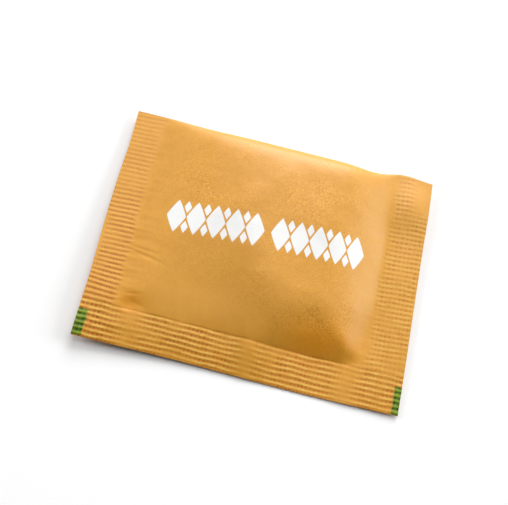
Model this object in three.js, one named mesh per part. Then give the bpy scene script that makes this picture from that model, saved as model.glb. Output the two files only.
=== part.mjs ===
// A flat paper sachet of sugar: one sheet folded over at the back edge and crimped shut along the
// left, right and front edges. It lies on its back with the printed face up.
// Millimetres, +X to the right, +Y towards the folded edge, +Z up, resting on Z = 0.
import * as THREE from "three";

// Driving sizes.
const width = 65;
const depth = 50;
const sealLeft = 6.1;
const sealRight = 7.3;
const sealFront = 7.5;
const plyPair = 0.3; // both plies together, where they are sealed
const bulge = 3.65; // how far the upper ply stands above the seals

// The crimped ribs all run along X.
const sideRibPitch = 1.01;
const frontRibPitch = 1.07;
const ribHeight = 0.15; // crest to groove

// Heights of the sealed rim over the table at its corners, how far the front edge sags between them,
// and how far the filling lifts the folded edge.
const rim = {
  frontLeft: 1.8, frontRight: 0.6, backLeft: 1.3, backRight: 1.9,
  frontSag: 0.85, backRise: 0.3,
};

// The front seal slopes down from the pouch: how far, over what reach, how much of that is lost on the
// right, and between which shares of the width the loss sets in.
const droop = { most: 1, reach: 13, lostOnRight: 0.85, lossFrom: 0.5, lossUntil: 0.7 };

// How far in from each seal the pouch is still rising. From the front seal its left half rises gently
// and its right half more steeply: the change between them runs from one place along X to another.
const rise = {
  left: 20, right: 15,
  frontLeftHalf: 32, frontRightHalf: 12.5, changeFrom: -14, changeUntil: 8,
};
const ease = { left: 1, right: 1.4 }; // how softly the pouch leaves the side seals
const noseBluntness = 16; // how late the pouch curves down to the fold

// The front right corner: a flat strip beside the side seal that narrows over some distance from the
// front seal, and a soft start from the front seal that sets in along X.
const frontCorner = { strip: 1.5, narrowsOver: 12, ease: 2.2, easeFrom: 19.5, easeUntil: 22.5 };

// The mitre between the rises from the front and from the sides is rounded, less so towards the right,
// where a share of the product of both rises is mixed in.
const mitre = { left: 0.3, right: 0.2, from: 5, until: 15 };
const product = { share: 0.15, from: 10, until: 24 };

// The lower ply lies flat on the table where the pouch is at least this full.
const flatFrom = 0.42;

// The filled middle draws the folded edge forward, fading out towards the seals and the front.
const pull = { most: 0.4, fadeLeft: 12, fadeRight: 5, fadeForward: 4 };

// The front edge is cut back at its left end: how far, and where along X that sets in and is complete.
const cutBack = { most: 0.75, from: 18, until: -18, fadeBackward: 3 };

// Soft forms: centre, reach along and across, turn from +X in degrees, and height. Swells belong to the
// filled pouch, curls to the whole sealed sheet and dents to the upper ply.
const swells = [
  { x: 13, y: -11, along: 7, across: 3.2, turn: 4, height: -0.3 }, // slack hollow in the front right
  { x: -22, y: 2, along: 13, across: 30, turn: 0, height: -1.3 }, // thin filling on the left
  { x: -16, y: 1, along: 9, across: 6, turn: 25, height: 0.25 }, // drifts of sugar
  { x: 9, y: 9, along: 9, across: 5.5, turn: -15, height: 0.3 },
  { x: -4, y: 12, along: 7, across: 2.6, turn: 50, height: 0.25 },
];
const curls = [
  { x: 28.5, y: 18, along: 5, across: 5.5, turn: 0, height: 0.85 }, // raised back right corner
  { x: -30, y: -23, along: 4, across: 4, turn: 0, height: 0.15 },
  { x: 1, y: -18.5, along: 2.6, across: 4.5, turn: 0, height: 0.4 }, // pleat into the front seal
];
const dents = [{ x: -23.2, y: -16.4, along: 2.2, across: 1.6, turn: 20, height: -0.26 }];

// Places where the folded edge bows out and where it is drawn in: centre and reach along X, and shift.
const foldBows = [
  { x: 26.8, reach: 3.2, shift: 0.42 },
  { x: 18.8, reach: 3.2, shift: -0.28 },
];
const bowDepth = 6; // how far forward from the fold a bow is felt

// Places along the front seal where the jaws pressed lightly, and the share of the ribs lost there.
const lightSpots = [
  { x: -22.5, reach: 1.6, loss: 0.75 },
  { x: 1, reach: 2, loss: 0.85 },
  { x: 21, reach: 2.6, loss: 0.8 },
];

const pouchStrips = 23; // columns of faces across the pouch

// The outline of the filled part, between the seals and the fold.
const pouchLeft = -width / 2 + sealLeft;
const pouchRight = width / 2 - sealRight;
const pouchFront = -depth / 2 + sealFront;
const foldY = depth / 2;

const clamp01 = (t) => Math.min(1, Math.max(0, t));
const smooth = (t) => clamp01(t) ** 2 * (3 - 2 * clamp01(t));
const ramp = (value, from, until) => smooth((value - from) / (until - from));
const mix = (a, b, t) => a + (b - a) * t;
const bell = (distance, reach) => Math.exp(-((distance / reach) ** 2));

// The distance inwards, with a start that an ease rounds off.
const eased = (distance, softness) => Math.hypot(Math.max(distance, 0), softness) - softness;

// Steepest near its start.
const roundRise = (distance, reach) => 1 - (1 - clamp01(distance / reach)) ** 2;

// Keeps its slope, then levels out.
function evenRise(distance, reach) {
  const share = clamp01(distance / reach);
  return share * (1.5 - 0.5 * share ** 2);
}

// The lower of two rises, with the mitre between them rounded.
function softLower(a, b, rounding) {
  const overlap = Math.max(rounding - Math.abs(a - b), 0) / rounding;
  return Math.min(a, b) - (overlap ** 3 * rounding) / 6;
}

// Where y lies between the front seal, at 0, and the fold, at 1.
const alongPouch = (y) => clamp01((y - pouchFront) / (foldY - pouchFront));

// Height of the sealed rim, carried on as a gently twisted surface under the pouch.
function rimHeight(x, y) {
  const u = x / width + 0.5;
  const v = y / depth + 0.5;
  const arch = 1 - (2 * u - 1) ** 2;
  const front = mix(rim.frontLeft, rim.frontRight, u) - rim.frontSag * arch;
  const back = mix(rim.backLeft, rim.backRight, u) + rim.backRise * arch;
  const fall = droop.most - droop.lostOnRight * ramp(u, droop.lossFrom, droop.lossUntil);
  return mix(front, back, v) + fall * roundRise(y + depth / 2, droop.reach) * (1 - alongPouch(y));
}

// Fullness of the pouch, from 0 on its outline to 1 in the middle.
function fullness(x, y) {
  const cornerEase = frontCorner.ease * ramp(x, frontCorner.easeFrom, frontCorner.easeUntil);
  const fromFront = eased(y - pouchFront, cornerEase);
  const strip = frontCorner.strip * (1 - ramp(fromFront, 0, frontCorner.narrowsOver));
  const leftRise = roundRise(eased(x - pouchLeft, ease.left), rise.left);
  const rightRise = roundRise(eased(pouchRight - x - strip, ease.right), rise.right);
  const change = ramp(x, rise.changeFrom, rise.changeUntil);
  const frontReach = mix(rise.frontLeftHalf, rise.frontRightHalf, change);
  const frontRise = evenRise(fromFront, frontReach);
  const rounding = mix(mitre.left, mitre.right, ramp(x, mitre.from, mitre.until));
  const mitred = Math.max(softLower(leftRise * rightRise, frontRise, rounding), 0);
  const multiplied = leftRise * rightRise * frontRise;
  const both = mix(mitred, multiplied, product.share * ramp(x, product.from, product.until));
  return both * Math.sqrt(1 - alongPouch(y) ** noseBluntness);
}

function softForms(forms, x, y) {
  let height = 0;
  for (const form of forms) {
    const turn = THREE.MathUtils.degToRad(form.turn);
    const dx = x - form.x;
    const dy = y - form.y;
    const ahead = dx * Math.cos(turn) + dy * Math.sin(turn);
    const aside = dy * Math.cos(turn) - dx * Math.sin(turn);
    height += form.height * bell(ahead, form.along) * bell(aside, form.across);
  }
  return height;
}

// 1 where the ribs are pressed to full depth, 0 on the pouch.
function crimped(x, y) {
  if (y > pouchFront) return x <= pouchLeft || x >= pouchRight ? 1 : 0;
  let share = 1;
  for (const spot of lightSpots) share -= spot.loss * bell(x - spot.x, spot.reach);
  return share;
}

// Rows of the grid from the front edge to the fold: every rib has one groove and one crest.
function ribRows() {
  const frontCount = Math.round(sealFront / frontRibPitch);
  const sideCount = Math.round((foldY - pouchFront) / sideRibPitch);
  const rows = [];
  for (let i = 0; i < 2 * frontCount; i++) rows.push(mix(-depth / 2, pouchFront, i / (2 * frontCount)));
  for (let i = 0; i <= 2 * sideCount; i++) rows.push(mix(pouchFront, foldY, i / (2 * sideCount)));
  return rows;
}

// Columns of the grid from left to right: two strips on each side seal, the rest across the pouch.
function columns() {
  const across = [-width / 2, (pouchLeft - width / 2) / 2];
  for (let i = 0; i <= pouchStrips; i++) across.push(mix(pouchLeft, pouchRight, i / pouchStrips));
  across.push((pouchRight + width / 2) / 2, width / 2);
  return across;
}

const xs = columns();
const ys = ribRows();

// How far the sheet is shifted along Y at this place by the filling, the cut and the bows of the fold.
function shiftAlongY(x, y) {
  const pulled = ramp(x - pouchLeft, 0, pull.fadeLeft) * ramp(pouchRight - x, 0, pull.fadeRight);
  let shift = -pull.most * pulled * alongPouch(y) ** pull.fadeForward;
  shift += cutBack.most * ramp(x, cutBack.from, cutBack.until) * (0.5 - y / depth) ** cutBack.fadeBackward;
  for (const bow of foldBows) shift += bow.shift * bell(x - bow.x, bow.reach) * bell(y - foldY, bowDepth);
  return shift;
}

// Where a grid point of the upper or the lower ply lies on the filled sachet.
function formed(column, row, isUpper) {
  const x = xs[column];
  const y = ys[row];
  const full = fullness(x, y);
  const rib = (row % 2 ? 0.5 : -0.5) * ribHeight * crimped(x, y);
  const base = rimHeight(x, y) + softForms(curls, x, y) + rib;
  const upper = base + plyPair / 2 + full * (bulge + softForms(swells, x, y)) + softForms(dents, x, y);
  const lower = (base - plyPair / 2) * (1 - smooth(full / flatFrom));
  return new THREE.Vector3(x, y + shiftAlongY(x, y), isUpper ? upper : lower);
}

// A box with one face for each grid cell, every corner carried to its place.
function sachetGeometry() {
  const lastColumn = xs.length - 1;
  const lastRow = ys.length - 1;
  const geometry = new THREE.BoxGeometry(1, 1, 1, lastColumn, lastRow, 1);
  const position = geometry.getAttribute("position");
  for (let i = 0; i < position.count; i++) {
    const column = Math.round((position.getX(i) + 0.5) * lastColumn);
    const row = Math.round((position.getY(i) + 0.5) * lastRow);
    const place = formed(column, row, position.getZ(i) > 0);
    position.setXYZ(i, place.x, place.y, place.z);
  }
  geometry.computeVertexNormals();
  return geometry;
}

const goldenPaper = new THREE.MeshStandardMaterial({ color: 0xe4aa56, roughness: 0.55, metalness: 0 });

const sachet = new THREE.Mesh(sachetGeometry(), goldenPaper);
sachet.name = "sachet";

const part = new THREE.Group();
part.add(sachet);

export default part;
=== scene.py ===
import math
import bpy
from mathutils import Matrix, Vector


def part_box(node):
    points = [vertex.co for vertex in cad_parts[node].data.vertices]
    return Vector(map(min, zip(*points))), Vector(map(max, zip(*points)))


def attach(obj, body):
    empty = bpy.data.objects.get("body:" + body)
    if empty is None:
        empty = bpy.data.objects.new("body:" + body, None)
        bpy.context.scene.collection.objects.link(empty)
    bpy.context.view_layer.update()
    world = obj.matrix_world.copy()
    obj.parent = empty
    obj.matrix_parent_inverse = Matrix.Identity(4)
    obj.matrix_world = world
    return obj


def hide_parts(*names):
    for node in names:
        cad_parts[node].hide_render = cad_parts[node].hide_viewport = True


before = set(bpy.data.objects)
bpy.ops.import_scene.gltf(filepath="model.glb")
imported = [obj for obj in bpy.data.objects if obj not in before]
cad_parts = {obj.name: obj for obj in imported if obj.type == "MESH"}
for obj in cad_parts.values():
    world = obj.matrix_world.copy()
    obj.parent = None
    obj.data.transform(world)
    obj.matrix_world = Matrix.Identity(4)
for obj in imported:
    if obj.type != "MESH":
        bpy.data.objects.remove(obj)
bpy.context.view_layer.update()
from types import SimpleNamespace
import bpy
from mathutils import Matrix, Vector

print("frame is loaded:", len(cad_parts), "node")

mm = 0.001
boxLow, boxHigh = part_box("sachet")


class Wire:
    # one output of a node; sums, products and comparisons of wires add Math nodes to its tree
    def __init__(self, graph, socket):
        self.graph = graph
        self.socket = socket

    def maths(self, operation, *others):
        inputs = dict(enumerate((self, *others)))
        return self.graph.node("ShaderNodeMath", {"operation": operation}, inputs)

    def reflected(self, operation, first):
        return self.graph.node("ShaderNodeMath", {"operation": operation}, {0: first, 1: self})

    def __add__(self, other):
        return self.maths("ADD", other)

    def __radd__(self, other):
        return self.reflected("ADD", other)

    def __sub__(self, other):
        return self.maths("SUBTRACT", other)

    def __rsub__(self, other):
        return self.reflected("SUBTRACT", other)

    def __mul__(self, other):
        return self.maths("MULTIPLY", other)

    def __rmul__(self, other):
        return self.reflected("MULTIPLY", other)

    def __truediv__(self, other):
        return self.maths("DIVIDE", other)

    def __rtruediv__(self, other):
        return self.reflected("DIVIDE", other)

    def __pow__(self, other):
        return self.maths("POWER", other)

    def __rpow__(self, other):
        return self.reflected("POWER", other)

    def __neg__(self):
        return self.maths("MULTIPLY", -1.0)

    def __gt__(self, other):
        return self.maths("GREATER_THAN", other)

    def __lt__(self, other):
        return self.maths("LESS_THAN", other)

    def output(self, name):  # another output of the same node
        return Wire(self.graph, self.socket.node.outputs[name])


class Graph:
    # a node tree, and the one way that nodes other than Math are added to it
    def __init__(self, tree):
        self.tree = tree

    def node(self, kind, settings=None, inputs=None, output=0):
        made = self.tree.nodes.new(kind)
        for name, value in (settings or {}).items():
            setattr(made, name, value)
        for name, value in (inputs or {}).items():
            if isinstance(value, Wire):
                self.tree.links.new(value.socket, made.inputs[name])
            else:
                made.inputs[name].default_value = value
        if not made.outputs:
            return made
        return Wire(self, made.outputs[output])

    def smooth(self, value, low, high):  # 0 up to low, 1 from high on
        settings = {"interpolation_type": "SMOOTHSTEP", "clamp": True}
        return self.node("ShaderNodeMapRange", settings, {0: value, 1: low, 2: high, 3: 0.0, 4: 1.0})

    def linear(self, value, low, high, start=0.0, end=1.0):
        inputs = {0: value, 1: low, 2: high, 3: start, 4: end}
        return self.node("ShaderNodeMapRange", {"clamp": True}, inputs)

    def blend(self, share, first, second):  # between two numbers
        return first + (second - first) * share

    def point(self, x, y, z=0.0):
        return self.node("ShaderNodeCombineXYZ", None, {0: x, 1: y, 2: z})

    def noise(self, place, size, seed, detail=2.0, roughness=0.5):  # about 0.5, from 0 to 1
        inputs = {"Vector": place, "W": seed, "Scale": 1.0 / size, "Detail": detail, "Roughness": roughness}
        return self.node("ShaderNodeTexNoise", {"noise_dimensions": "4D"}, inputs)

    def colour(self, share, first, second):
        settings = {"data_type": "RGBA", "clamp_factor": True}
        inputs = {0: share, 6: opaque(first), 7: opaque(second)}
        return self.node("ShaderNodeMix", settings, inputs, output=2)


def opaque(colour):
    return colour if isinstance(colour, Wire) else (*colour, 1.0)


sachet = {  # the form, in millimetres from the middle of the table under it
    "inputs": {  # inputs of the Geometry Nodes tree
        "Width": (boxHigh.x - boxLow.x) / mm,
        "Depth": -2.0 * boxLow.y / mm,  # the bow of the fold beside the right seal goes past this
        "Seal left": 6.1,
        "Seal right": 7.3,
        "Seal front": 7.5,
        "Ply pair": 0.22,  # both plies together, where they are sealed
        "Bulge": 3.65,  # how far the upper ply stands above the seals
        "Side ribs": 42.0,  # from the front seal to the fold
        "Front ribs": 7.0,
        "Rib height": 0.1,  # crest to groove
        "Front shortfall": 0.75,  # how far the front edge is cut back at its left end
        "Front droop": 1.0,  # how far the front seal slopes down from the pouch
        "Fold pull": 0.4,  # how far the filling draws the folded edge forward
        "Cockle": 0.22,  # unevenness of the sealed rim
        "Pucker": 0.16,  # short folds where the pouch leaves the seals
        "Seed": 4.0,
    },
    "columns": {"left seal": 18, "pouch": 92, "right seal": 22},
    "rowsPerRib": 7,
    "rim": {  # heights of the sealed rim over the table
        "front left": 1.8, "front right": 0.6, "back left": 1.3, "back right": 1.9,
        "front sag": 0.85, "back rise": 0.3,
    },
    "droop": {"reach": 13.0, "lostOnRight": 0.85, "between": (0.5, 0.7)},  # between shares of the width
    # how far in from each seal the pouch is still rising, and where along X the front reach changes
    "reach": {"left": 20.0, "right": 15.0, "front, left half": 32.0, "front, right half": 12.5},
    "reachChange": (-14.0, 8.0),
    "sideEase": {"left": 1.0, "right": 1.4},  # how softly the pouch leaves the side seals
    # front right corner: a flat strip beside the side seal, and a soft start from the front seal along X
    "corner": {"strip": 1.5, "narrowsOver": 12.0, "ease": 2.2, "between": (19.5, 22.5)},
    # how round the mitre of both rises is, and how much of their product is mixed in towards the right
    "mitre": {"left": 0.3, "right": 0.2, "between": (5.0, 15.0)},
    "product": {"share": 0.15, "between": (10.0, 24.0)},
    "noseBluntness": 16.0,  # how late the pouch curves down to the fold
    "flatFrom": 0.42,  # share of the fullness from which the underside lies on the table
    "softEdge": 50.0,  # degrees; flatter edges are shaded smooth
    # soft forms: centre x and y, reach along and across, turn from +X in degrees, height
    "swells": [
        (13.0, -11.0, 7.0, 3.2, 4, -0.3),  # slack hollow in the front right
        (-22.0, 2.0, 13.0, 30.0, 0, -1.3),  # thin filling on the left
        (-16.0, 1.0, 9.0, 6.0, 25, 0.25),  # drifts of sugar
        (9.0, 9.0, 9.0, 5.5, -15, 0.3),
        (-4.0, 12.0, 7.0, 2.6, 50, 0.25),
    ],
    "curls": [  # the same, for the whole sealed sheet
        (28.5, 18.0, 5.0, 5.5, 0, 0.85),  # raised back right corner, whose tip droops
        (-30.0, -23.0, 4.0, 4.0, 0, 0.15),
        (1.0, -18.5, 2.6, 4.5, 0, 0.4),  # slack pleat that runs down into the front seal
    ],
    "creases": [  # the same, for folds and dents in the upper ply
        (-23.6, -5.0, 2.6, 0.3, -9, -0.07),
        (-22.8, -6.3, 3.2, 0.32, -14, -0.08),
        (-22.3, -16.0, 1.8, 0.3, -18, -0.03),
        (-23.4, -14.4, 1.6, 0.26, 12, -0.05),
        (-23.2, -16.4, 2.2, 1.6, 20, -0.26),
    ],
    # the same, with a shift of the outline along X or along Y in place of the height
    "shiftsX": [(-32.5, 18.0, 5.0, 6.0, 0, 0.25), (-32.5, -13.0, 5.0, 9.0, 0, 0.3)],
    "shiftsY": [
        (26.8, 25.0, 3.2, 6.0, 0, 0.42),  # the back edge bows out beside the right seal
        (18.8, 25.0, 3.2, 5.0, 0, -0.28),  # and is drawn in before it
    ],
    "pull": {"fadeLeft": 12.0, "fadeRight": 5.0, "fadeForward": 4.0},
    "shortfall": {"between": (0.78, 0.22), "fadeBackward": 3.0},  # between shares of the width
    "folds": {  # short ones where the pouch leaves the seals
        "frequency": {"along": 0.08, "across": 0.5},
        "setIn": (-0.8, 0.6), "endAtSides": 7.0, "endAtFront": 6.0,
        "lostOnRight": 0.7, "betweenX": (0.0, 10.0),
        "lostAtBack": 0.6, "betweenY": (-4.0, 4.0),
    },
    "cockleSize": 9.0,
    "drift": {"size": 8.0, "height": 0.4},  # slow unevenness of the filling
    "plyGap": 0.3,  # between the plies in the noises, so that the two differ a little
    # added to the seed
    "seeds": {"patches": 3.0, "cockle": 8.0, "side folds": 11.0, "front folds": 14.0, "drift": 17.0},
}


def highest(wires):
    top = wires[0]
    for wire in wires[1:]:
        top = top.maths("MAXIMUM", wire)
    return top


def softForms(x, y, entries):
    total = 0.0
    for centreX, centreY, along, across, turn, height in entries:
        cosine = math.cos(math.radians(turn))
        sine = math.sin(math.radians(turn))
        dx = x - centreX
        dy = y - centreY
        ahead = (dx * cosine + dy * sine) / along
        aside = (dy * cosine - dx * sine) / across
        total = total + height * (-(ahead * ahead) - aside * aside).maths("EXPONENT")
    return total


def perSeal(graph, x, inFront, values):
    return graph.blend(inFront, graph.blend(x > 0.0, values["left"], values["right"]), values["front"])


def eased(distance, ease):  # starts flat, negative stays negative
    inward = distance.maths("MAXIMUM", 0.0)
    return (inward * inward + ease * ease).maths("SQRT") - ease + distance.maths("MINIMUM", 0.0)


def shareOf(distance, reach):  # kept between 0 and 1
    return (distance / reach).maths("MAXIMUM", 0.0).maths("MINIMUM", 1.0)


def roundRise(distance, reach):  # steepest near its start
    slack = 1.0 - shareOf(distance, reach)
    return 1.0 - slack * slack


def evenRise(distance, reach):  # keeps its slope, then levels out
    share = shareOf(distance, reach)
    return share * (1.5 - 0.5 * share * share)


def flatSheet(graph, size):
    # a block of one cell's depth, whose upper face becomes the upper ply and whose lower face the lower one
    columns = sachet["columns"]
    columnCount = sum(columns.values())
    frontRibs = round(sachet["inputs"]["Front ribs"])
    ribCount = round(sachet["inputs"]["Side ribs"]) + frontRibs
    block = graph.node("GeometryNodeMeshCube", None, {
        "Size": (1.0, 1.0, 1.0),
        "Vertices X": columnCount + 1,
        "Vertices Y": ribCount * sachet["rowsPerRib"] + 1,
        "Vertices Z": 2,
    })
    spot = graph.node("ShaderNodeSeparateXYZ", None, {0: graph.node("GeometryNodeInputPosition")})
    u = spot + 0.5
    v = spot.output("Y") + 0.5

    # where its points lie on the flat sheet
    sheet = SimpleNamespace(isUpper=spot.output("Z") > 0.0)
    left = size["Width"] * -0.5
    back = size["Depth"] * 0.5
    front = -back
    pouchLeft = left + size["Seal left"]
    pouchRight = -left - size["Seal right"]
    pouchFront = front + size["Seal front"]
    leftShare = columns["left seal"] / columnCount
    rightShare = 1.0 - columns["right seal"] / columnCount
    frontShare = frontRibs / ribCount
    x = graph.linear(u, 0.0, leftShare, left, pouchLeft)
    x = x + graph.linear(u, leftShare, rightShare, 0.0, pouchRight - pouchLeft)
    sheet.x = x + graph.linear(u, rightShare, 1.0, 0.0, size["Seal right"])
    y = graph.linear(v, 0.0, frontShare, front, pouchFront)
    sheet.y = y + graph.linear(v, frontShare, 1.0, 0.0, back - pouchFront)
    sheet.place = graph.point(sheet.x, sheet.y, sheet.isUpper * sachet["plyGap"])
    sheet.across = sheet.x / size["Width"] + 0.5
    sheet.upward = sheet.y / size["Depth"] + 0.5
    sheet.alongPouch = graph.linear(sheet.y, pouchFront, back)
    sheet.inFront = sheet.y < pouchFront
    sheet.depthOfPouch = back - pouchFront
    sheet.fromEdge = sheet.x - left
    sheet.fromFrontEdge = sheet.y - front
    sheet.fromLeft = sheet.x - pouchLeft
    sheet.fromRight = pouchRight - sheet.x
    sheet.fromFront = sheet.y - pouchFront
    corner = sachet["corner"]
    sheet.easedFront = eased(sheet.fromFront, corner["ease"] * graph.smooth(sheet.x, *corner["between"]))
    return block, sheet


def fullness(graph, sheet):  # of the pouch, from 0 on its outline to 1 in the middle
    reach = sachet["reach"]
    ease = sachet["sideEase"]
    corner = sachet["corner"]
    mitre = sachet["mitre"]
    product = sachet["product"]
    strip = corner["strip"] * (1.0 - graph.smooth(sheet.easedFront, 0.0, corner["narrowsOver"]))
    fromSides = roundRise(eased(sheet.fromLeft, ease["left"]), reach["left"])
    fromSides = fromSides * roundRise(eased(sheet.fromRight - strip, ease["right"]), reach["right"])
    change = graph.smooth(sheet.x, *sachet["reachChange"])
    frontReach = graph.blend(change, reach["front, left half"], reach["front, right half"])
    frontRise = evenRise(sheet.easedFront, frontReach)
    rounding = graph.blend(graph.smooth(sheet.x, *mitre["between"]), mitre["left"], mitre["right"])
    mitred = fromSides.maths("SMOOTH_MIN", frontRise, rounding).maths("MAXIMUM", 0.0)
    productShare = graph.smooth(sheet.x, *product["between"]) * product["share"]
    full = graph.blend(productShare, mitred, fromSides * frontRise)
    return full * (1.0 - sheet.alongPouch ** sachet["noseBluntness"]).maths("SQRT")


def rimHeight(graph, sheet, size):  # carried on as a gently twisted surface under the pouch
    rim = sachet["rim"]
    droop = sachet["droop"]
    arch = 4.0 * sheet.across * (1.0 - sheet.across)
    frontRim = graph.blend(sheet.across, rim["front left"], rim["front right"]) - rim["front sag"] * arch
    backRim = graph.blend(sheet.across, rim["back left"], rim["back right"]) + rim["back rise"] * arch
    fall = 1.0 - droop["lostOnRight"] * graph.smooth(sheet.across, *droop["between"])
    fall = size["Front droop"] * fall * roundRise(sheet.fromFrontEdge, droop["reach"])
    return graph.blend(sheet.upward, frontRim, backRim) + fall * (1.0 - sheet.alongPouch)


crimp = {  # the ribs, in millimetres
    "wander": {"left": 0.45, "right": 0.75, "front": 0.75},  # in rib pitches
    "wanderSize": 6.0,
    "tilt": {"left, front": -0.045, "left, back": 0.045, "right": 0.06},  # how much they climb to the right
    "tiltChange": (-14.0, -6.0),  # along Y, on the left seal
    "tiltSetsIn": 4.0,  # from the front seal
    "sharpness": {"sides": 0.6, "front": 1.6},  # of the crests
    "ragged": {"eachRib": 0.7, "slowly": 2.2, "moreOnRight": 1.6},  # how unevenly they end at the pouch
    "ends": {"left": (-0.45, 0.25), "right": (-0.4, 0.5), "front": (-0.1, 0.25)},  # where they fade out
    # how far the right ones reach onto the pouch
    "rightEnd": {"back": 0.3, "more in front": 0.2, "between": (15.0, 11.0)},
    "leftDepth": {"front": 1.2, "back": 0.45, "between": (-12.0, 20.0)},
    "rightDepth": 0.8,
    "plainCorner": {"betweenX": (27.0, 30.0), "betweenY": (14.0, 19.0)},  # the raised back right one
    "plainRim": {"width": (0.4, 0.8), "middleY": -4.5, "reach": (6.5, 4.0)},  # at the left edge
    # where the front ribs are pressed flat: x, reach, share of the ribs lost
    "smoothSpots": [(-22.5, 1.6, 0.75), (1.0, 2.0, 0.85), (21.0, 2.6, 0.8)],
    "patches": {"size": 4.5, "between": (0.30, 0.56), "faintest": 0.45},
}


def crimpedRibs(graph, sheet, size):
    # how many ribs lie between here and the front edge, and how deeply they are pressed here
    wander = graph.noise(sheet.place, crimp["wanderSize"], size["Seed"]) - 0.5
    tilt = crimp["tilt"]
    leftTilt = graph.smooth(sheet.y, *crimp["tiltChange"])
    leftTilt = graph.blend(leftTilt, tilt["left, front"], tilt["left, back"])
    climb = sheet.fromLeft.maths("MINIMUM", 0.0) * leftTilt
    climb = climb - sheet.fromRight.maths("MINIMUM", 0.0) * tilt["right"]
    climb = climb * graph.smooth(sheet.fromFront, 0.0, crimp["tiltSetsIn"])
    frontCount = sheet.fromFrontEdge / (size["Seal front"] / size["Front ribs"])
    sideCount = (sheet.fromFront - climb) / (sheet.depthOfPouch / size["Side ribs"]) + size["Front ribs"]
    waviness = perSeal(graph, sheet.x, sheet.inFront, crimp["wander"])
    ribs = graph.blend(sheet.inFront, sideCount, frontCount) + wander * waviness

    # they end raggedly at the pouch
    perRib = graph.node("ShaderNodeTexWhiteNoise", {"noise_dimensions": "1D"}, {"W": ribs.maths("FLOOR")})
    ragged = (perRib - 0.5) * crimp["ragged"]["eachRib"] + wander * crimp["ragged"]["slowly"]
    ends = crimp["ends"]
    leftDepth = crimp["leftDepth"]
    onLeft = 1.0 - graph.smooth(ragged + sheet.fromLeft, *ends["left"])
    fading = graph.smooth(sheet.y, *leftDepth["between"])
    onLeft = onLeft * graph.blend(fading, leftDepth["front"], leftDepth["back"])
    plainRim = crimp["plainRim"]
    alongRim = (sheet.y - plainRim["middleY"]).maths("ABSOLUTE")
    isRim = graph.smooth(alongRim, *plainRim["reach"])
    isRim = isRim * (1.0 - graph.smooth(sheet.fromEdge, *plainRim["width"]))
    onLeft = onLeft * (1.0 - isRim)
    rightEnd = crimp["rightEnd"]
    overPouch = rightEnd["back"] + rightEnd["more in front"] * graph.smooth(sheet.y, *rightEnd["between"])
    onRight = ragged * crimp["ragged"]["moreOnRight"] - sheet.fromRight + overPouch
    corner = crimp["plainCorner"]
    isCorner = graph.smooth(sheet.x, *corner["betweenX"]) * graph.smooth(sheet.y, *corner["betweenY"])
    onRight = graph.smooth(onRight, *ends["right"]) * crimp["rightDepth"] * (1.0 - isCorner)
    onFront = 1.0 - graph.smooth(sheet.easedFront, *ends["front"])

    pressed = 1.0
    for centre, reach, loss in crimp["smoothSpots"]:
        offset = (sheet.x - centre) / reach
        pressed = pressed - loss * (-(offset * offset)).maths("EXPONENT") * sheet.inFront
    patches = crimp["patches"]
    patchy = graph.noise(sheet.place, patches["size"], size["Seed"] + sachet["seeds"]["patches"])
    patchy = graph.blend(graph.smooth(patchy, *patches["between"]), patches["faintest"], 1.0)
    return ribs, highest([onLeft, onRight, onFront]) * pressed * patchy


dash = {
    "pitch": {"left": 0.55, "right": 0.92, "front": 0.8},
    "unbroken": {"left": 0.45, "right": 0.1, "front": 0.35},  # share of a groove that runs on between dashes
    "dark": (0.45, 0.85),  # how far from its middle a dash is full, and where it ends, of half the pitch
    "faintest": 0.35,
    "slant": 0.04,  # shift from groove to groove, in pitches
    "wander": 1.2,
    "wanderSize": 6.0,
    "seed": 21.0,
}


def dashPattern(graph, x, y, ribs, inFront):
    # the jaws hammer each groove into short dashes, whose ends line up from groove to groove
    groove = ribs.maths("ROUND")
    wander = graph.noise(graph.point(x, y), dash["wanderSize"], dash["seed"], 1.0) - 0.5
    wandered = x + wander * dash["wander"]
    dashes = wandered / perSeal(graph, x, inFront, dash["pitch"]) + groove * dash["slant"]
    cell = graph.point(dashes.maths("FLOOR"), groove)
    strength = graph.node("ShaderNodeTexWhiteNoise", {"noise_dimensions": "2D"}, {"Vector": cell})
    fromMiddle = 2.0 * (dashes.maths("FRACT") - 0.5).maths("ABSOLUTE")
    depth = (1.0 - graph.smooth(fromMiddle, *dash["dark"])) * graph.blend(strength, dash["faintest"], 1.0)
    return graph.blend(depth, perSeal(graph, x, inFront, dash["unbroken"]), 1.0)


def ribRelief(graph, sheet, size, ribs, crimped):  # 0 on the crests, negative in the grooves
    sharpness = graph.blend(sheet.inFront, crimp["sharpness"]["sides"], crimp["sharpness"]["front"])
    crest = (ribs * math.pi).maths("SINE").maths("ABSOLUTE") ** sharpness
    dashes = dashPattern(graph, sheet.x, sheet.y, ribs, sheet.inFront)
    return (crest - 1.0) * crimped * dashes * size["Rib height"]


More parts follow.
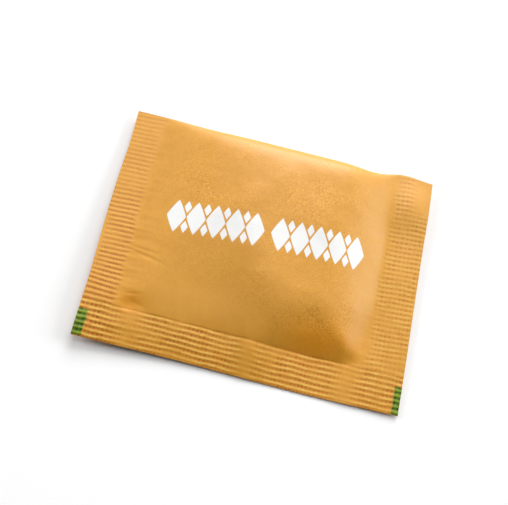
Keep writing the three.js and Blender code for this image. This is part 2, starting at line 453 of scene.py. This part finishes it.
def foldRelief(graph, sheet, size):  # short folds that run away from the seals
    folds = sachet["folds"]
    along = folds["frequency"]["along"]
    across = folds["frequency"]["across"]
    seeds = sachet["seeds"]
    start, whole = folds["setIn"]

    def near(distance, end):
        return graph.smooth(distance, start, whole) * (1.0 - graph.smooth(distance, whole, end))

    sidePlace = graph.point(sheet.x * along, sheet.y * across)
    frontPlace = graph.point(sheet.x * across, sheet.y * along)
    sideFold = graph.noise(sidePlace, 1.0, size["Seed"] + seeds["side folds"], 1.0) - 0.5
    frontFold = graph.noise(frontPlace, 1.0, size["Seed"] + seeds["front folds"], 1.0) - 0.5
    nearSide = near(sheet.fromLeft.maths("MINIMUM", sheet.fromRight), folds["endAtSides"])
    nearSide = nearSide * (1.0 - folds["lostOnRight"] * graph.smooth(sheet.x, *folds["betweenX"]))
    nearSide = nearSide * (1.0 - folds["lostAtBack"] * graph.smooth(sheet.y, *folds["betweenY"]))
    nearFront = near(sheet.easedFront, folds["endAtFront"])
    return (sideFold * nearSide + frontFold * nearFront) * 2.0 * size["Pucker"]


def formedPlace(graph, sheet, size, full, relief):
    # where a point of the flat sheet lies on the filled sachet
    x = sheet.x
    y = sheet.y
    seeds = sachet["seeds"]
    drift = sachet["drift"]
    cockle = graph.noise(sheet.place, sachet["cockleSize"], size["Seed"] + seeds["cockle"], 1.0) - 0.5
    uneven = (graph.noise(sheet.place, drift["size"], size["Seed"] + seeds["drift"]) - 0.5) * drift["height"]
    base = rimHeight(graph, sheet, size) + softForms(x, y, sachet["curls"])
    base = base + cockle * size["Cockle"] * (1.0 - full) + relief
    halfPair = size["Ply pair"] * 0.5
    lift = full * (size["Bulge"] + softForms(x, y, sachet["swells"]) + uneven)
    folded = foldRelief(graph, sheet, size) + softForms(x, y, sachet["creases"])
    upper = base + halfPair + lift + folded
    lower = (base - halfPair) * (1.0 - graph.smooth(full, 0.0, sachet["flatFrom"]))

    pull = sachet["pull"]
    pulled = graph.smooth(sheet.fromLeft, 0.0, pull["fadeLeft"])
    pulled = pulled * graph.smooth(sheet.fromRight, 0.0, pull["fadeRight"])
    pulled = size["Fold pull"] * pulled * sheet.alongPouch ** pull["fadeForward"]
    shortfall = sachet["shortfall"]
    cutBack = size["Front shortfall"] * graph.smooth(sheet.across, *shortfall["between"])
    cutBack = cutBack * (1.0 - sheet.upward) ** shortfall["fadeBackward"]
    formedX = x + softForms(x, y, sachet["shiftsX"])
    formedY = y - pulled + cutBack + softForms(x, y, sachet["shiftsY"])
    formed = graph.point(formedX, formedY, graph.blend(sheet.isUpper, lower, upper))
    return graph.node("ShaderNodeVectorMath", {"operation": "SCALE"}, {0: formed, "Scale": mm})


def buildFormTree(paper):
    tree = bpy.data.node_groups.new("sachetForm", "GeometryNodeTree")
    graph = Graph(tree)
    tree.interface.new_socket(name="Geometry", in_out="OUTPUT", socket_type="NodeSocketGeometry")
    for name, value in sachet["inputs"].items():
        socket = tree.interface.new_socket(name=name, in_out="INPUT", socket_type="NodeSocketFloat")
        socket.default_value = value
    given = graph.node("NodeGroupInput")
    size = {name: given.output(name) for name in sachet["inputs"]}
    body, sheet = flatSheet(graph, size)
    full = fullness(graph, sheet)
    ribs, crimped = crimpedRibs(graph, sheet, size)
    relief = ribRelief(graph, sheet, size, ribs, crimped)
    formed = formedPlace(graph, sheet, size, full, relief)

    # kept for the material, on the unformed block, because these fields read its positions
    for name, kind, value in (
        ("sheetPlace", "FLOAT_VECTOR", graph.point(sheet.x, sheet.y, sheet.isUpper)),
        ("full", "FLOAT", full),
        ("crimped", "FLOAT", crimped),
        ("ribs", "FLOAT", ribs),
    ):
        settings = {"data_type": kind, "domain": "POINT"}
        inputs = {"Geometry": body, "Name": name, "Value": value}
        body = graph.node("GeometryNodeStoreNamedAttribute", settings, inputs)
    body = graph.node("GeometryNodeSetPosition", None, {"Geometry": body, "Position": formed})
    isSoft = graph.node("GeometryNodeInputMeshEdgeAngle") < math.radians(sachet["softEdge"])
    for domain, value in (("FACE", True), ("EDGE", isSoft)):
        inputs = {"Geometry": body, "Shade Smooth": value}
        body = graph.node("GeometryNodeSetShadeSmooth", {"domain": domain}, inputs)
    body = graph.node("GeometryNodeRealizeInstances", None, {"Geometry": body})
    body = graph.node("GeometryNodeSetMaterial", None, {"Geometry": body, "Material": paper})
    graph.node("NodeGroupOutput", None, {"Geometry": body})
    return tree


def makeSachet(paper):
    tree = buildFormTree(paper)
    holder = bpy.data.objects.new("sachetHolder", bpy.data.meshes.new("sachetHolder"))
    bpy.context.scene.collection.objects.link(holder)
    modifier = holder.modifiers.new("form", "NODES")
    modifier.node_group = tree
    for socket in tree.interface.items_tree:
        if socket.in_out == "INPUT":
            modifier[socket.identifier] = sachet["inputs"][socket.name]
    depsgraph = bpy.context.evaluated_depsgraph_get()
    evaluated = holder.evaluated_get(depsgraph)
    mesh = bpy.data.meshes.new_from_object(evaluated, preserve_all_data_layers=True, depsgraph=depsgraph)
    bpy.data.objects.remove(holder)
    mesh.name = "paperSachet"
    piece = bpy.data.objects.new("paperSachet", mesh)
    bpy.context.scene.collection.objects.link(piece)
    triangles = sum(len(face.vertices) - 2 for face in mesh.polygons)
    print("sachet:", len(mesh.vertices), "vertices,", triangles, "triangles")
    return piece


paperLook = {  # lengths in millimetres on the flat sheet
    "gold": (0.648, 0.292, 0.017),
    "deepGold": (0.555, 0.235, 0.010),
    "paleGold": (0.735, 0.350, 0.032),
    "toneWeights": {"mottle": 0.35, "cloud": 0.35, "fibre": 0.3},
    "toneBetween": (0.36, 0.64),  # from the deep gold to the pale one
    "toneShare": 0.35,
    # where the paper is painted paler or deeper to stand for light and shade: entries as for the swells, with
    # a share for the height
    # painted sheen: a pale haze on slopes and on the right seal, where the lamps light the paper too little
    "paintedSheenGold": (0.735, 0.345, 0.045),
    "paintedSheen": [
        (-2.0, -12.0, 22.0, 4.5, 10, 0.85),  # along the start of the slope down to the front
        (28.5, 10.0, 4.0, 6.0, 0, 0.8),
        (24.5, -13.0, 3.0, 4.0, 0, 0.5),
        (29.5, 22.5, 4.0, 4.0, 0, 0.6),
    ],
    # painted: the right flank's colour has less blue, to take out part of the lamps' sheen there
    "flankGold": (0.655, 0.297, 0.0005),
    "flank": [(21.5, 8.0, 3.5, 12.0, 0, 0.9)],
    # painted shade: the gold as it looks in the shade of the slack hollow and the front left dimple
    "shadedHollowGold": (0.73, 0.275, 0.0015),
    "shadedHollows": [(14.0, -14.6, 7.5, 4.2, 4, 1.0), (-23.2, -16.0, 2.8, 2.4, 0, 0.7)],
    # painted shade in the grooves of the ribs, on their front side that faces away from the lamps
    "paintedGrooveShade": (0.44, 0.125, 0.0005),
    "groovePaint": {"left": 0.8, "right": 0.68, "front": 0.88},
    "groovePlace": (0.14, 0.4),  # from its middle, in rib pitches
    # painted highlight along the crests of the ribs, on their back side that faces the lamps
    "paintedCrestHighlight": (0.71, 0.44, 0.065),
    "crestPaint": {"left": 0.26, "right": 0.9, "front": 0.88},
    "crestPlace": (0.26, 0.44),
    "crestPatches": {"waver": 0.6, "between": (0.3, 0.6)},
    "paintShift": 0.12,  # the painted groove shade is darkest on the grooves' front side, in rib pitches
    "paintWaver": 0.3,
    "roughness": 0.46,
    "roughnessChange": {"cloud": 0.2, "crimped": 0.08, "groove": -0.1, "green": -0.18},
    "specular": 0.66,
    # noises: size, seed, detail, roughness
    "noises": {
        "mottle": (6.0, 1.0, 3.0, 0.55),
        "cloud": (1.4, 3.0, 3.0, 0.6),
        "fibre": (0.12, 2.0, 2.0, 0.6),
        "waver": (0.55, 9.0, 1.0, 0.5),
        "grain": (0.3, 12.0, 1.0, 0.5),
        "jag": (0.6, 7.0, 1.0, 0.5),
    },
}


def plainPaper(graph, x, y, noise):
    tone = 0.0
    for name, weight in paperLook["toneWeights"].items():
        tone = tone + weight * noise[name]
    tone = graph.smooth(tone, *paperLook["toneBetween"])
    gold = graph.colour(tone, paperLook["deepGold"], paperLook["paleGold"])
    gold = graph.colour(paperLook["toneShare"], paperLook["gold"], gold)
    # painted sheen on the pale patches, painted-out sheen on the flank and painted shade in the hollows, over
    # the paper's own tone
    for places, tint in (("paintedSheen", "paintedSheenGold"), ("flank", "flankGold"), ("shadedHollows", "shadedHollowGold")):
        gold = graph.colour(softForms(x, y, paperLook[places]), gold, paperLook[tint])
    return gold


def ribTones(graph, x, y, crimped, ribs, noise):
    # how far the nearest groove is, its dashes, and the shares of painted groove shade and painted crest
    # highlight
    waver = noise["waver"] - 0.5
    shifted = ribs - paperLook["paintShift"]
    offset = shifted - shifted.maths("ROUND") + waver * paperLook["paintWaver"]
    rib = SimpleNamespace(fromGroove=offset.maths("ABSOLUTE"))
    rib.inFront = y < boxLow.y / mm + sachet["inputs"]["Seal front"]
    rib.dashes = dashPattern(graph, x, y, shifted, rib.inFront)
    rib.groove = crimped * (1.0 - graph.smooth(rib.fromGroove, *paperLook["groovePlace"])) * rib.dashes
    patches = paperLook["crestPatches"]
    patchy = graph.smooth(noise["cloud"] + waver * patches["waver"], *patches["between"])
    rib.crest = crimped * graph.smooth(rib.fromGroove, *paperLook["crestPlace"]) * patchy
    return rib


crystals = {  # of sugar, under the paper
    "size": 0.34,
    "softness": 0.5,
    "height": 0.02,
    "fibreHeight": 0.008,
    "cloudHeight": 0.008,
    "fullBetween": (0.2, 0.7),  # they press through where the pouch is this full
    "patches": {"between": (0.42, 0.6), "faintest": 0.35},
    "hearts": [  # most show here: entries as for the swells, with a share for the height
        (6.5, 12.5, 7.5, 5.5, 10, 0.7),
        (-16.5, 10.5, 7.5, 4.5, -10, 0.55),
        (14.0, -11.0, 9.0, 5.0, 0, 0.5),
    ],
    "share": {"everywhere": 0.1, "where grainy": 0.28, "hearts, least": 0.4},
    # painted shade of the crystals' bumps, as darker specks
    "crystalShade": (0.56, 0.20, 0.003),
    "brownBetween": (0.48, 0.28),
    # painted highlight on the crystals' bumps, as paler grains
    "gold": (0.85, 0.425, 0.045),
    "goldBetween": (0.48, 0.68),
    "goldShare": 0.8,
    "specks": {"spacing": 0.85, "radius": (0.12, 0.26), "share": 1.4},
}


def sugarGrain(graph, sheet, x, y, full, gold, noise):
    # paints the light and shade of the crystals that press through, as darker and paler specks on the gold,
    # and gives the paper's relief
    patches = crystals["patches"]
    patchy = graph.blend(graph.smooth(noise["mottle"], *patches["between"]), patches["faintest"], 1.0)
    grainy = graph.smooth(full, *crystals["fullBetween"]) * patchy
    share = crystals["share"]
    grainShare = softForms(x, y, crystals["hearts"]) * graph.blend(grainy, share["hearts, least"], 1.0)
    grainShare = share["everywhere"] + share["where grainy"] * grainy + grainShare
    crystalShade = graph.smooth(noise["grain"], *crystals["brownBetween"]) * grainShare
    gold = graph.colour(crystalShade, gold, crystals["crystalShade"])
    pale = graph.smooth(noise["grain"], *crystals["goldBetween"]) * grainShare * crystals["goldShare"]
    gold = graph.colour(pale, gold, crystals["gold"])
    specks = crystals["specks"]
    voronoi = {"voronoi_dimensions": "3D"}
    inputs = {"Vector": sheet, "Scale": 1.0 / specks["spacing"]}
    fromSpeck = graph.node("ShaderNodeTexVoronoi", voronoi, inputs, "Distance")
    speckShare = (1.0 - graph.smooth(fromSpeck, *specks["radius"])) * (grainShare * specks["share"])
    gold = graph.colour(speckShare, gold, crystals["crystalShade"])

    voronoi["feature"] = "SMOOTH_F1"
    inputs = {"Vector": sheet, "Scale": 1.0 / crystals["size"], "Smoothness": crystals["softness"]}
    grains = 1.0 - graph.node("ShaderNodeTexVoronoi", voronoi, inputs, "Distance")
    relief = grains * crystals["height"] * grainy
    relief = relief + noise["fibre"] * crystals["fibreHeight"] + noise["cloud"] * crystals["cloudHeight"]
    return gold, relief


motif = {  # groups of tall diamonds, with small ones between them
    "left": -20.8, "centreY": 4.05, "tilt": 2.0,
    "groups": 2, "groupGap": 1.2, "perGroup": 5, "pitch": 3.98,
    "tall": (1.9, 3.5), "small": (0.72, 1.3),  # half width, half height
    "smallPlace": 2.2,  # above and below the middle
    "roundness": 1.12,
    "edge": (0.95, 1.05),
    "ink": (0.84, 0.84, 0.83),
}


def printedMotif(graph, x, y):
    tilt = math.radians(motif["tilt"])
    rowX = x * math.cos(tilt) + y * math.sin(tilt)
    rowY = (y * math.cos(tilt) - x * math.sin(tilt) - motif["centreY"]).maths("ABSOLUTE")
    pitch = motif["pitch"]
    span = pitch * motif["perGroup"]

    def diamond(offsetX, offsetY, halfWidth, halfHeight):
        edge = (offsetX.maths("ABSOLUTE") / halfWidth) ** motif["roundness"]
        edge = edge + (offsetY.maths("ABSOLUTE") / halfHeight) ** motif["roundness"]
        return 1.0 - graph.smooth(edge, *motif["edge"])

    shapes = []
    for group in range(motif["groups"]):
        local = rowX - (motif["left"] + group * (span + motif["groupGap"]))
        inGroup = (local > 0.0) * (local < span)
        isBetween = (local > 0.5 * pitch) * (local < span - 0.5 * pitch)
        fromMiddle = local - ((local / pitch).maths("FLOOR") + 0.5) * pitch
        fromSeam = local - (local / pitch).maths("ROUND") * pitch
        shapes.append(inGroup * diamond(fromMiddle, rowY, *motif["tall"]))
        shapes.append(isBetween * diamond(fromSeam, rowY - motif["smallPlace"], *motif["small"]))
    return highest(shapes)


marks = {  # green cutting marks
    "places": [(-32.5, 1.9, -24.8, -19.6), (32.5, 1.45, -25.0, -19.5)],  # outer x, width, lowest y, highest y
    "softness": 0.2,
    "jag": 0.8,
    "jagAlongY": 0.6,
    "green": (0.20, 0.285, 0.0005),
    # painted shade in the grooves across the green marks
    "shadedGreen": (0.025, 0.085, 0.0002),
    "deepPlace": (0.42, 0.14),  # from the middle of a groove, in rib pitches
    "deepWaver": 0.7,
    "deepBetweenDashes": 0.5,
}


def cuttingMarks(graph, x, y, jag):
    shapes = []
    softness = marks["softness"]
    jaggedY = y + jag * marks["jagAlongY"]
    for outerX, width, low, high in marks["places"]:
        fromEdge = (x - outerX).maths("ABSOLUTE") + jag
        inside = 1.0 - graph.smooth(fromEdge, width - softness, width + softness)
        shapes.append(inside * (jaggedY > low) * (jaggedY < high))
    return highest(shapes)


def buildPaper():
    material = bpy.data.materials.new("goldenPaper")
    material.use_nodes = True
    tree = material.node_tree
    graph = Graph(tree)
    shader = tree.nodes["Principled BSDF"]
    full, crimped, ribs = (
        graph.node("ShaderNodeAttribute", {"attribute_name": name}, None, "Fac")
        for name in ("full", "crimped", "ribs")
    )
    sheet = graph.node("ShaderNodeAttribute", {"attribute_name": "sheetPlace"}, None, "Vector")
    x = graph.node("ShaderNodeSeparateXYZ", None, {0: sheet})
    y = x.output("Y")
    isUpper = x.output("Z") > 0.5
    noise = {name: graph.noise(sheet, *values) for name, values in paperLook["noises"].items()}

    gold = plainPaper(graph, x, y, noise)
    rib = ribTones(graph, x, y, crimped, ribs, noise)
    # painted highlight on the crests and painted shade in the grooves
    crestShare = rib.crest * perSeal(graph, x, rib.inFront, paperLook["crestPaint"])
    grooveShare = rib.groove * perSeal(graph, x, rib.inFront, paperLook["groovePaint"])
    gold = graph.colour(crestShare, gold, paperLook["paintedCrestHighlight"])
    gold = graph.colour(grooveShare, gold, paperLook["paintedGrooveShade"])
    gold, relief = sugarGrain(graph, sheet, x, y, full, gold, noise)

    white = printedMotif(graph, x, y) * isUpper
    green = cuttingMarks(graph, x, y, (noise["jag"] - 0.5) * marks["jag"]) * isUpper
    # painted shade of the grooves on the green marks
    greenShadeShare = rib.fromGroove + (noise["cloud"] - 0.5) * marks["deepWaver"]
    greenShadeShare = graph.smooth(greenShadeShare, *marks["deepPlace"]) * graph.blend(rib.dashes, marks["deepBetweenDashes"], 1.0)
    greenInk = graph.colour(greenShadeShare, marks["green"], marks["shadedGreen"])
    colour = graph.colour(white, gold, motif["ink"])
    colour = graph.colour(green, colour, greenInk)
    tree.links.new(colour.socket, shader.inputs["Base Color"])

    change = paperLook["roughnessChange"]
    roughness = paperLook["roughness"] + (noise["cloud"] - 0.5) * change["cloud"]
    roughness = roughness + crimped * change["crimped"] + rib.groove * change["groove"]
    roughness = roughness + green * change["green"]
    tree.links.new(roughness.socket, shader.inputs["Roughness"])
    shader.inputs["Specular IOR Level"].default_value = paperLook["specular"]

    bump = graph.node("ShaderNodeBump", None, {"Strength": 1.0, "Distance": mm, "Height": relief})
    tree.links.new(bump.socket, shader.inputs["Normal"])
    return material


stage = {"halfSide": 1.5, "colour": (0.93, 0.93, 0.93), "roughness": 0.9, "specular": 0.1}


def buildStage():
    half = stage["halfSide"]
    mesh = bpy.data.meshes.new("floor")
    corners = [(-half, -half, 0), (half, -half, 0), (half, half, 0), (-half, half, 0)]
    mesh.from_pydata(corners, [], [(0, 1, 2, 3)])
    floor = bpy.data.objects.new("floor", mesh)
    bpy.context.scene.collection.objects.link(floor)
    material = bpy.data.materials.new("paleFloor")
    material.use_nodes = True
    shader = material.node_tree.nodes["Principled BSDF"]
    shader.inputs["Base Color"].default_value = (*stage["colour"], 1.0)
    shader.inputs["Roughness"].default_value = stage["roughness"]
    shader.inputs["Specular IOR Level"].default_value = stage["specular"]
    mesh.materials.append(material)


light = {
    "distance": 0.9,
    "side": 0.5,  # of each square softbox
    "softboxes": {  # azimuth, elevation, watts
        "back": (5, 28, 8.15),
        "left": (-70, 28, 4.0),
        "right": (66, 22, 5.8),
        "over": (0, 72, 1.52),
    },
    "worldStrength": 0.104,
}


def direction(azimuth, elevation):  # degrees round from the back towards the right, degrees up
    turn = math.radians(azimuth)
    height = math.radians(elevation)
    return Vector((math.sin(turn) * math.cos(height), math.cos(turn) * math.cos(height), math.sin(height)))


def buildLights():
    for name, (azimuth, elevation, power) in light["softboxes"].items():
        lamp = bpy.data.lights.new(name, "AREA")
        lamp.shape = "SQUARE"
        lamp.size = light["side"]
        lamp.energy = power
        softbox = bpy.data.objects.new(name, lamp)
        bpy.context.scene.collection.objects.link(softbox)
        towards = direction(azimuth, elevation)
        softbox.location = towards * light["distance"]
        softbox.rotation_euler = towards.to_track_quat("Z", "Y").to_euler()
    world = bpy.data.worlds.new("studio")
    world.use_nodes = True
    background = world.node_tree.nodes["Background"]
    background.inputs["Color"].default_value = (1.0, 1.0, 1.0, 1.0)
    background.inputs["Strength"].default_value = light["worldStrength"]
    bpy.context.scene.world = world


view = {  # where the camera stands, from the point it looks at
    "azimuth": 190.3,
    "elevation": 70.9,
    "distance": 0.1447,
    "roll": 23.6,
    "aim": (-0.0019, 0.0009, 0.0),
    "lens": 50.0,
    "sensorWidth": 36.0,
    "clipStart": 0.01,
}


def buildCamera():
    towards = direction(view["azimuth"], view["elevation"])
    right = Vector((0.0, 0.0, 1.0)).cross(towards).normalized()
    upward = towards.cross(right)
    roll = math.radians(view["roll"])
    rolledRight = right * math.cos(roll) + upward * math.sin(roll)
    rolledUp = upward * math.cos(roll) - right * math.sin(roll)
    axes = Matrix((rolledRight, rolledUp, towards)).transposed().to_4x4()
    camera = bpy.data.objects.new("camera", bpy.data.cameras.new("camera"))
    camera.data.lens = view["lens"]
    camera.data.sensor_width = view["sensorWidth"]
    camera.data.sensor_fit = "HORIZONTAL"
    camera.data.clip_start = view["clipStart"]
    camera.matrix_world = Matrix.Translation(Vector(view["aim"]) + towards * view["distance"]) @ axes
    bpy.context.scene.collection.objects.link(camera)
    bpy.context.scene.camera = camera


bpy.context.scene.view_settings.view_transform = "Standard"
buildCamera()
buildLights()
buildStage()
print("floor, lights and camera are in place")
paper = buildPaper()
print("paper is mixed")
piece = makeSachet(paper)
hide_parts("sachet")
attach(piece, "root")
